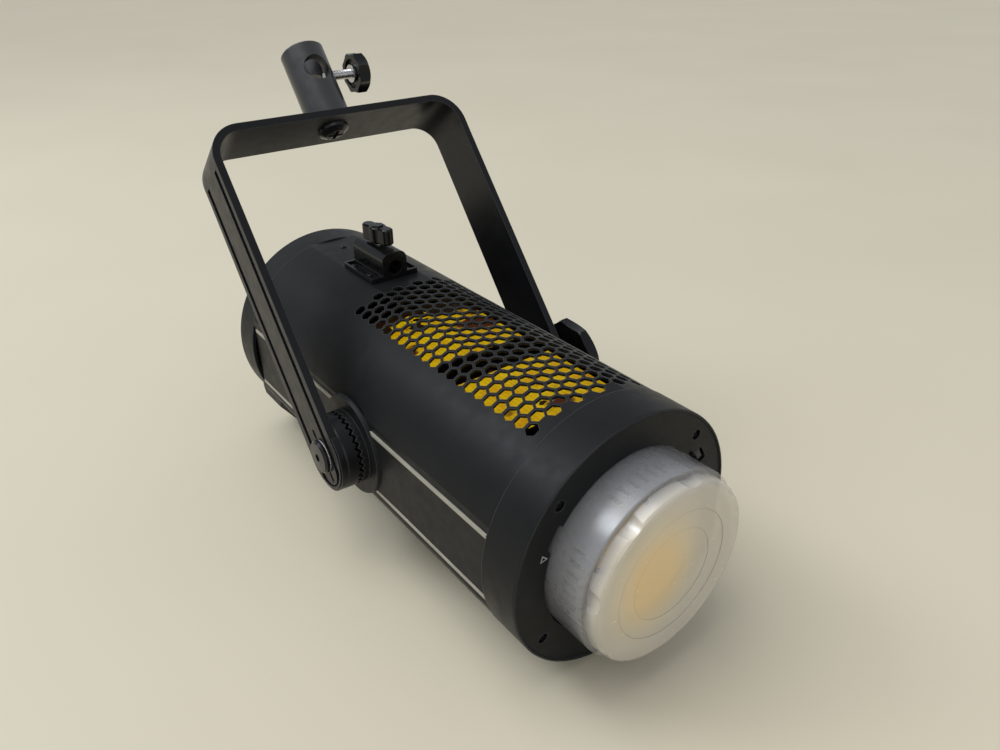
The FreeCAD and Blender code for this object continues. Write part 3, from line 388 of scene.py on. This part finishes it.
MATERIALS = {
    "body": powder_coat("body_black", (0.0100, 0.0105, 0.0112), 0.40, edge=0.7, rim=0.0006),
    "yoke": powder_coat("yoke_black", (0.0058, 0.0060, 0.0072), 0.34, 1300.0, 0.00005, 0.8, 0.24),
    "satin": powder_coat("yoke_satin", (0.009, 0.009, 0.011), 0.30, 2200.0, 0.00003, 0.4, 0.9),
    "trim": metal("trim_bright", (0.40, 0.385, 0.325), 0.40, stretch=(1.0, 0.05, 1.0), metallic=0.2),
    "fins": fins_gold(),
    "copper": metal("copper", (0.80, 0.40, 0.24), 0.32),
    "steel": metal("steel", (0.62, 0.62, 0.63), 0.28, stretch=(0.1, 1.0, 1.0)),
    "steel_black": metal("steel_black", (0.030, 0.030, 0.034), 0.22, metallic=0.7),
    "plastic": moulded("plastic_black", (0.0040, 0.0040, 0.0046), 0.20, edge=0.06,
                       Specular_IOR_Level=0.28),
    "rubber": moulded("rubber_black", (0.014, 0.014, 0.015), 0.60, 1500.0, 0.00005),
    "collar": moulded("collar_black", (0.13, 0.133, 0.145), 0.30),
    "reflector": reflector_white(),
    "led": led_emitter(),
    "cap": cap_frosted(),
    "board": circuit_board(),
    "parts": moulded("parts_dark", (0.05, 0.05, 0.06), 0.45),
    "screen": screen_glass(),
    "nylon": moulded("nylon_white", (0.70, 0.69, 0.64), 0.5, edge=0.1),
    # Near-black for painted shade in the leg grooves and slots.
    "recess": moulded("painted_shade_black", (0.0016, 0.0016, 0.0018), 0.8, edge=0.0,
                      Specular_IOR_Level=0.04),
    "oxide": metal("oxide_dark", (0.030, 0.026, 0.024), 0.42, metallic=0.5),
    "print": moulded("print_pale", (0.50, 0.50, 0.48), 0.5, edge=0.0),
}

NODE_LOOKS = {
    "body": ("barrel_shell", "front_ring", "front_plate", "side_panel_left", "side_panel_right",
             "tilt_collar_left", "tilt_collar_right", "rear_ring"),
    "yoke": ("yoke_bar", "leg_end_cap_left", "leg_end_cap_right"),
    "satin": ("spigot_receiver",),
    "trim": ("side_trims",),
    "fins": ("fin_stack_front", "fin_stack_rear"),
    "copper": ("heat_pipes",),
    "oxide": ("cold_plate",),
    "steel": ("chassis_tray", "board_posts", "tilt_stud", "inlet_pins", "tilt_knob_nut",
              "umbrella_screw", "spigot_screw"),
    "steel_black": ("pivot_screw", "receiver_screw", "lock_pin"),
    "collar": ("cob_collar",),
    "plastic": ("cob_frame", "rear_panel", "power_inlet", "switch_bezel", "tilt_knob",
                "release_slider", "spigot_knob", "umbrella_knob", "dimmer_dial", "power_rocker",
                "umbrella_bracket"),
    "rubber": ("rear_foot", "button_left", "button_right"),
    "reflector": ("reflector_dish",),
    "led": ("cob_led",),
    "cap": ("protective_cap",),
    "board": ("driver_board",),
    "parts": ("driver_parts",),
    "screen": ("screen_window",),
    "nylon": ("spigot_pad", "umbrella_pad", "thrust_washer_left", "thrust_washer_right"),
}


def dress_nodes():
    """Give each node its look."""
    for look, names in NODE_LOOKS.items():
        for name in names:
            data = NODES[name].data
            data.materials.clear()
            data.materials.append(MATERIALS[look])


# ---------------------------------------------------------------- small pieces in mesh code
UP, FRONT, REAR = (0, 0, 1), (0, -1, 0), (0, 1, 0)


def finish_piece(name, form, look, body, place=Matrix.Identity(4), smooth=True):
    """Turn a bmesh or a mesh into a piece with its material that rides on a body."""
    if isinstance(form, bmesh.types.BMesh):
        bmesh.ops.recalc_face_normals(form, faces=form.faces)
        mesh = bpy.data.meshes.new(name)
        form.to_mesh(mesh)
        form.free()
        mesh.materials.append(MATERIALS[look])
        for face in mesh.polygons:
            face.use_smooth = smooth
        if smooth:
            mesh.set_sharp_from_angle(angle=math.radians(35))
    else:
        mesh = form
    piece = bpy.data.objects.new(name, mesh)
    piece.matrix_world = place
    bpy.context.scene.collection.objects.link(piece)
    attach(piece, body)
    return piece


def revolved(profile, segments=32, start=0.0, end=math.tau):
    """Turn (radius, height) points in metres about Z; a full turn closes on itself."""
    form = bmesh.new()
    full = abs(end - start - math.tau) < 1e-6
    steps = segments if full else segments + 1
    rings = []
    for step in range(steps):
        angle = start + (end - start) * step / segments
        ring = [form.verts.new((r * math.cos(angle), r * math.sin(angle), h)) for r, h in profile]
        rings.append(ring)
    pairs = zip(rings, rings[1:] + rings[:1]) if full else zip(rings, rings[1:])
    count = len(profile)
    for here, there in pairs:
        for index in range(count):
            following = (index + 1) % count
            form.faces.new((here[index], there[index], there[following], here[following]))
    if not full:
        form.faces.new(rings[0])
        form.faces.new(list(reversed(rings[-1])))
    bmesh.ops.remove_doubles(form, verts=form.verts, dist=1e-6)
    return form


def prism(outline, low, high):
    """Raise a flat (x, y) outline from low to high."""
    form = bmesh.new()
    base = [form.verts.new((x, y, low)) for x, y in outline]
    top = [form.verts.new((x, y, high)) for x, y in outline]
    form.faces.new(list(reversed(base)))
    form.faces.new(top)
    for index in range(len(outline)):
        following = (index + 1) % len(outline)
        form.faces.new((base[index], base[following], top[following], top[index]))
    return form


def screw_head(name, radius, height, look):
    """A domed head on z = 0 with a tapered cross recess cut into it."""
    edge = 0.35
    dome = [(0.0, 0.0), (radius, 0.0), (radius, height * edge)]
    steps = 6
    for step in range(1, steps + 1):
        turn = math.pi / 2 * step / steps
        dome.append((radius * math.cos(turn), height * (edge + (1.0 - edge) * math.sin(turn))))
    head = revolved(dome, 40)
    arm, half = radius * 0.62, radius * 0.15
    taper = 0.7
    cross = [(half, half), (arm, half), (arm, -half), (half, -half), (half, -arm), (-half, -arm),
             (-half, -half), (-arm, -half), (-arm, half), (-half, half), (-half, arm), (half, arm)]
    recess = prism(cross, height * 0.25, height * 1.5)
    for vertex in recess.verts:
        if vertex.co.z < height:
            vertex.co.x *= taper
            vertex.co.y *= taper
    objects = []
    for form in (head, recess):
        bmesh.ops.recalc_face_normals(form, faces=form.faces)
        mesh = bpy.data.meshes.new(name)
        form.to_mesh(mesh)
        form.free()
        objects.append(bpy.data.objects.new(name, mesh))
        bpy.context.scene.collection.objects.link(objects[-1])
    cut = objects[0].modifiers.new("recess", "BOOLEAN")
    cut.operation = "DIFFERENCE"
    cut.solver = "EXACT"
    cut.object = objects[1]
    evaluated = objects[0].evaluated_get(bpy.context.evaluated_depsgraph_get())
    result = bpy.data.meshes.new_from_object(evaluated)
    for old in objects:
        bpy.data.objects.remove(old)
    result.materials.clear()
    result.materials.append(MATERIALS[look])
    for face in result.polygons:
        face.use_smooth = True
    result.set_sharp_from_angle(angle=math.radians(30))
    return result


def facing(direction, place, spin=0.0):
    """Place a piece so that its +Z looks along a direction."""
    turn = Vector(direction).to_track_quat("Z", "Y").to_matrix().to_4x4()
    return Matrix.Translation(place) @ turn @ Matrix.Rotation(spin, 4, "Z")


PLATE_SCREWS = (44, 136, 213, 327)
PLATE_SCREW_CIRCLE = 62.3 * MM
PLATE_SCREW_FLOOR = 3.1 * MM
BRACKET_SCREW_X = 12.4 * MM
BRACKET_SCREW_Y = (221.0 * MM, 241.0 * MM)
BRACKET_SCREW_SPIN = 900      # gives each bracket screw its own turn
BRACKET_FLOOR = 70.1 * MM
TOP_FLAT = 68.5 * MM
TOP_SCREW_Y = 280.0 * MM
PANEL_SCREWS = (48, 132, 228, 312)
PANEL_SCREW_CIRCLE = 58.0 * MM
PANEL_FACE = 314.5 * MM
DIAL_CENTRE = Vector((0.0, 0.0, -8.0)) * MM


def make_screw_ring(name, head, angles, radius, level, direction):
    """Screws on a circle about the lamp's axis, each turned with its own place."""
    for number, angle in enumerate(angles, 1):
        turn = math.radians(angle)
        place = facing(direction, (radius * math.cos(turn), level, radius * math.sin(turn)), turn)
        finish_piece(f"{name}_{number}", head, "steel_black", "head", place)


def make_screws():
    """Screws of the front plate, the umbrella bracket, the barrel's top and the rear panel."""
    plate = screw_head("plate_screw", 2.5 * MM, 1.3 * MM, "steel_black")
    make_screw_ring("plate_screw", plate, PLATE_SCREWS, PLATE_SCREW_CIRCLE, PLATE_SCREW_FLOOR, FRONT)
    small = screw_head("small_screw", 2.1 * MM, 1.1 * MM, "steel_black")
    spots = [(x, y) for x in (-BRACKET_SCREW_X, BRACKET_SCREW_X) for y in BRACKET_SCREW_Y]
    for number, (x, y) in enumerate(spots, 1):
        place = facing(UP, (x, y, BRACKET_FLOOR), y * BRACKET_SCREW_SPIN)
        finish_piece(f"bracket_screw_{number}", small, "steel_black", "head", place)
    place = facing(UP, (0, TOP_SCREW_Y, TOP_FLAT), 0.5)
    finish_piece("shell_screw_top", small, "steel_black", "head", place)
    make_screw_ring("panel_screw", small, PANEL_SCREWS, PANEL_SCREW_CIRCLE, PANEL_FACE, REAR)


def threaded_rod(length, crest, root, pitch, hub_radius, hub_low, hub_high):
    """A rod along +Z with a V thread that runs out into a round hub."""
    form = bmesh.new()
    around, per_pitch = 28, 8
    rows = int(length / pitch * per_pitch)
    rings = []
    for row in range(rows + 1):
        height = length * row / rows
        ring = []
        for step in range(around):
            angle = math.tau * step / around
            phase = (height / pitch - step / around) % 1.0
            flank = abs(2.0 * phase - 1.0)
            radius = root + (crest - root) * min(1.0, 1.4 * flank)
            if hub_low <= height <= hub_high:
                radius = hub_radius
            ring.append(form.verts.new((radius * math.cos(angle), radius * math.sin(angle), height)))
        rings.append(ring)
    for here, there in zip(rings, rings[1:]):
        for step in range(around):
            after = (step + 1) % around
            form.faces.new((here[step], here[after], there[after], there[step]))
    form.faces.new(list(reversed(rings[0])))
    form.faces.new(rings[-1])
    return form


def yoke_place(x, y, z):
    """A point given in the upright yoke's own frame, where Z runs up its legs."""
    turned = Matrix.Rotation(-YOKE_LEAN, 3, "X") @ Vector((x, y, z))
    return turned + TILT_AXIS


CLAMP_START = 10.9 * MM
CLAMP_LENGTH = 22.4 * MM
CLAMP_CREST = 3.0 * MM
CLAMP_ROOT = 2.55 * MM
CLAMP_PITCH = 1.0 * MM
CLAMP_HUB_RADIUS = 5.6 * MM
CLAMP_HUB_RUN = (16.6 * MM, 19.4 * MM)
CLAMP_LEVEL = 227.0 * MM


def make_spigot_thread():
    """The star knob's screw with its thread, in place of the plain one."""
    rod = threaded_rod(CLAMP_LENGTH, CLAMP_CREST, CLAMP_ROOT, CLAMP_PITCH, CLAMP_HUB_RADIUS,
                       *CLAMP_HUB_RUN)
    place = facing((1, 0, 0), yoke_place(CLAMP_START, 0.0, CLAMP_LEVEL))
    piece = finish_piece("spigot_thread", rod, "steel", "spigot_clamp", place)
    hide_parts("spigot_screw")


LEG_FACE = 86.0 * MM
GROOVE_INNER = 9.8 * MM
GROOVE_OUTER = 14.7 * MM
GROOVE_DEPTH = 1.3 * MM
GROOVE_TOP = 171.8 * MM
LEG_END = 19.0 * MM
RIB_END = -8.4 * MM
SLOT_ALONG = 13.2 * MM
SLOT_HALF = 1.8 * MM
SLOT_RADIUS = 1.15 * MM


def arc_points(radius, centre, start, end, steps):
    """Points round an arc whose centre lies on the leg's midline."""
    turns = (start + (end - start) * step / steps for step in range(steps + 1))
    return [(radius * math.cos(turn), centre + radius * math.sin(turn)) for turn in turns]


def leg_spot(side, along=0.0, depth=0.0):
    """The outer face of a leg: x across it, y up it, z out of it."""
    across = Vector((0.0, math.cos(YOKE_LEAN), -math.sin(YOKE_LEAN))) * side
    up = Vector((0.0, math.sin(YOKE_LEAN), math.cos(YOKE_LEAN)))
    axes = Matrix((across, up, Vector((side, 0.0, 0.0)))).transposed().to_4x4()
    return Matrix.Translation(yoke_place(side * (LEG_FACE - depth), 0.0, along)) @ axes


def make_leg_grooves():
    """Dark sheets of painted shade on the floors of the two grooves that meet round each leg's end.
    """
    turn = math.acos(GROOVE_OUTER / LEG_END)
    outline = [(GROOVE_OUTER, GROOVE_TOP)]
    outline += arc_points(LEG_END, 0.0, -turn, turn - math.pi, 20)
    outline += [(-GROOVE_OUTER, GROOVE_TOP), (-GROOVE_INNER, GROOVE_TOP)]
    outline += arc_points(GROOVE_INNER, RIB_END, math.pi, math.tau, 20)
    outline.append((GROOVE_INNER, GROOVE_TOP))
    for side, name in ((-1, "leg_groove_left"), (1, "leg_groove_right")):
        floor = prism(outline, -0.05 * MM, 0.10 * MM)
        finish_piece(name, floor, "recess", "yoke", leg_spot(side, depth=GROOVE_DEPTH), smooth=False)


def make_leg_slots():
    """Dark oblong sheets of painted shade over the slots above and below the pivot, on the outer face
    of each leg.
    """
    end = arc_points(SLOT_RADIUS, SLOT_HALF, 0.0, math.pi, 8)
    outline = end + [(-x, -y) for x, y in end]
    for side, leg in ((-1, "left"), (1, "right")):
        for along, end_name in ((SLOT_ALONG, "upper"), (-SLOT_ALONG, "lower")):
            slot_shade = prism(outline, -0.3 * MM, 0.08 * MM)
            name = f"leg_slot_{leg}_{end_name}"
            finish_piece(name, slot_shade, "recess", "yoke", leg_spot(side, along), smooth=False)


RAY_START = 0.4


def drape(form, node, direction, lift):
    """Lay a flat form on a node's surface, keeping each point's own height above it."""
    data = NODES[node].data
    tree = BVHTree.FromPolygons([v.co for v in data.vertices], [p.vertices for p in data.polygons])
    away = Vector(direction)
    for vertex in form.verts:
        height = vertex.co.dot(away)
        flat = vertex.co - away * height
        hit = tree.ray_cast(flat + away * RAY_START, -away)[0]
        vertex.co = hit + away * (height + lift)
    return form


MARK_TURN = math.radians(162.0)
MARK_RADIUS = 56.0
MARK_POINT = 2.4 * MM
MARK_BACK = 1.6 * MM
MARK_HALF = 2.0 * MM
MARK_OPENING = 0.62
PRINT_HEIGHT = 0.06 * MM
SPRING_INNER = 51.75 * MM
SPRING_OUTER = 52.1 * MM
SPRING_WIDTH = 2.0 * MM
SPRING_START, SPRING_END = math.radians(26), math.radians(60)
SPRING_FLOOR = 3.0 * MM


def make_align_mark():
    """A small outlined triangle on the front plate beside the left bayonet way."""
    middle = Vector((MARK_RADIUS * math.cos(MARK_TURN), 0.0, MARK_RADIUS * math.sin(MARK_TURN))) * MM
    inward = Vector((-math.cos(MARK_TURN), 0.0, -math.sin(MARK_TURN)))
    aside = Vector((-inward.z, 0.0, inward.x))
    back = middle - inward * MARK_BACK
    outer = [middle + inward * MARK_POINT, back + aside * MARK_HALF, back - aside * MARK_HALF]
    centre = sum(outer, Vector()) / 3
    inner = [centre + (corner - centre) * MARK_OPENING for corner in outer]
    form = bmesh.new()
    for index in range(3):
        after = (index + 1) % 3
        corners = (outer[index], outer[after], inner[after], inner[index])
        lower = [form.verts.new(corner) for corner in corners]
        upper = [form.verts.new(corner + Vector((0, -PRINT_HEIGHT, 0))) for corner in corners]
        form.faces.new(lower)
        form.faces.new(list(reversed(upper)))
        for side in range(4):
            along = (side + 1) % 4
            form.faces.new((lower[side], lower[along], upper[along], upper[side]))
    mark = drape(form, "front_plate", FRONT, 0.0)
    finish_piece("align_mark", mark, "print", "head", smooth=False)


def make_bore_spring():
    """The sprung steel band inside the front bore, near the catch."""
    band = [(SPRING_INNER, 0.0), (SPRING_OUTER, 0.0), (SPRING_OUTER, SPRING_WIDTH),
            (SPRING_INNER, SPRING_WIDTH)]
    arc = revolved(band, 24, SPRING_START, SPRING_END)
    place = facing(FRONT, (0, SPRING_FLOOR, 0))
    finish_piece("bore_spring", arc, "steel_black", "head", place)


DAM_RADIUS = 14.6 * MM
DAM_HALF = (0.55 * MM, 0.45 * MM)


def make_dam_ring():
    """The silicone dam that rings the phosphor."""
    across, high = DAM_HALF
    turns = [math.tau * step / 12 for step in range(12)]
    tube = [(across * math.cos(turn) + DAM_RADIUS, high * math.sin(turn)) for turn in turns]
    low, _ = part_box("cob_led")
    place = facing(FRONT, (0.0, low.y, 0.0))
    finish_piece("led_dam", revolved(tube, 64), "nylon", "head", place)


TICK_COUNT = 11
TICK_SWEEP = math.radians(280)
TICK_START = 15.0 * MM
TICK_END, TICK_LONG_END = 16.6, 17.4
TICK_HALF = 0.22 * MM
TICK_HEIGHT = 0.08 * MM
SIGN_INSET = 4.0 * MM
SIGN_LIFT = 0.02 * MM
SIGN_HALF = 1.8 * MM
STROKE_HALF = 0.3 * MM
SIGN_INNER = 1.3 * MM


def make_dial_ticks():
    """Ticks round the dimmer dial, with the first, middle and last one longer."""
    for step in range(TICK_COUNT):
        turn = math.pi / 2 + TICK_SWEEP * (step / (TICK_COUNT - 1) - 0.5)
        end = (TICK_LONG_END if step % 5 == 0 else TICK_END) * MM
        bar = prism([(TICK_START, -TICK_HALF), (end, -TICK_HALF), (end, TICK_HALF),
                     (TICK_START, TICK_HALF)], 0.0, TICK_HEIGHT)
        place = facing(REAR, DIAL_CENTRE + Vector((0, PANEL_FACE, 0)), turn)
        finish_piece(f"dial_tick_{step + 1:02d}", bar, "print", "head", place, smooth=False)


def make_rocker_signs():
    """The on bar and the off ring on the power switch."""
    low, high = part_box("power_rocker")
    level = (low.z + high.z) / 2
    bar = prism([(-STROKE_HALF, -SIGN_HALF), (STROKE_HALF, -SIGN_HALF), (STROKE_HALF, SIGN_HALF),
                 (-STROKE_HALF, SIGN_HALF)], 0.0, PRINT_HEIGHT)
    ring = revolved([(SIGN_INNER, 0.0), (SIGN_HALF, 0.0), (SIGN_HALF, PRINT_HEIGHT),
                     (SIGN_INNER, PRINT_HEIGHT)], 28)
    signs = (("rocker_on", low.x + SIGN_INSET, bar), ("rocker_off", high.x - SIGN_INSET, ring))
    for name, x, mark in signs:
        mark.transform(Matrix.Translation((x, 0.0, level)) @ Matrix.Rotation(-math.pi / 2, 4, "X"))
        draped = drape(mark, "power_rocker", REAR, SIGN_LIFT)
        finish_piece(name, draped, "print", "rocker", smooth=False)


def make_pieces():
    """All pieces that only the scene has."""
    make_screws()
    make_spigot_thread()
    make_leg_grooves()
    make_leg_slots()
    make_align_mark()
    make_bore_spring()
    make_dam_ring()
    make_dial_ticks()
    make_rocker_signs()


# ---------------------------------------------------------------- stage, lights and camera
FLOOR_REACH = 9.0


def make_floor():
    """A wide pale floor under the lamp, with a faint drift in its tone."""
    look = Look("floor_pale", (0.60, 0.55, 0.43), 0.55, Specular_IOR_Level=0.2)
    look.feed("Base Color", look.mottle(3.0, (0.59, 0.54, 0.42), (0.61, 0.56, 0.44)))
    signs = ((-1, -1), (1, -1), (1, 1), (-1, 1))
    corners = [(x * FLOOR_REACH, y * FLOOR_REACH, 0.0) for x, y in signs]
    mesh = bpy.data.meshes.new("floor")
    mesh.from_pydata(corners, [], [(0, 1, 2, 3)])
    mesh.materials.append(look.material)
    floor = bpy.data.objects.new("floor", mesh)
    floor.location.z = CAD_BOX[0][2]
    bpy.context.scene.collection.objects.link(floor)


LAMP_REACH = 2.0
SKY_SIDE = (-0.30, 0.20, 0.93)
WINDOW_SIDE = (-0.50, 0.53, 0.68)
FILL_SIDE = (-0.25, -0.92, 0.40)
LIT_MIDDLE = Vector((0.0, 0.1, 0.0))


def place_lamp(light, direction):
    """Hang a light in a direction from the object and point it back at the object."""
    toward = Vector(direction).normalized()
    lamp = bpy.data.objects.new(light.name, light)
    lamp.location = LIT_MIDDLE + toward * LAMP_REACH
    lamp.rotation_euler = toward.to_track_quat("Z", "Y").to_euler()
    bpy.context.scene.collection.objects.link(lamp)


def soft_box(name, size, power, colour, direction):
    """A rectangular area light."""
    light = bpy.data.lights.new(name, "AREA")
    light.shape = "RECTANGLE"
    light.size, light.size_y = size
    light.energy = power
    light.color = colour
    place_lamp(light, direction)


def make_lights():
    """An even pale world, a soft sky from above, a cool window and a weak fill from the front."""
    world = bpy.data.worlds.new("world")
    world.use_nodes = True
    background = world.node_tree.nodes["Background"]
    background.inputs["Color"].default_value = (0.92, 0.96, 1.0, 1.0)
    background.inputs["Strength"].default_value = 0.50
    bpy.context.scene.world = world
    sky = bpy.data.lights.new("sky", "SUN")
    sky.energy = 1.40
    sky.angle = math.radians(50)
    sky.color = (1.0, 0.99, 0.97)
    place_lamp(sky, SKY_SIDE)
    soft_box("window", (0.8, 0.6), 12.0, (0.86, 0.93, 1.0), WINDOW_SIDE)
    soft_box("fill", (1.4, 1.4), 6.0, (1.0, 0.98, 0.95), FILL_SIDE)


CAMERA_PLACE = Vector((-228.16, -196.9, 265.24)) * MM
CAMERA_TARGET = Vector((41.29, 156.3, 7.76)) * MM
CAMERA_ROLL = -0.006
CAMERA_LENS = 28.41


def make_camera():
    """The camera that was fitted to the photograph."""
    data = bpy.data.cameras.new("camera")
    data.lens = CAMERA_LENS
    data.sensor_width = 36.0
    data.clip_start = 0.01
    camera = bpy.data.objects.new("camera", data)
    forward = (CAMERA_TARGET - CAMERA_PLACE).normalized()
    side = forward.cross(Vector((0, 0, 1))).normalized()
    up = side.cross(forward)
    right = side * math.cos(CAMERA_ROLL) + up * math.sin(CAMERA_ROLL)
    top = up * math.cos(CAMERA_ROLL) - side * math.sin(CAMERA_ROLL)
    axes = Matrix((right, top, -forward)).transposed().to_4x4()
    camera.matrix_world = Matrix.Translation(CAMERA_PLACE) @ axes
    bpy.context.scene.collection.objects.link(camera)
    bpy.context.scene.camera = camera


make_camera()
dress_nodes()
make_pieces()
make_floor()
make_lights()
bpy.context.scene.view_settings.view_transform = "Standard"
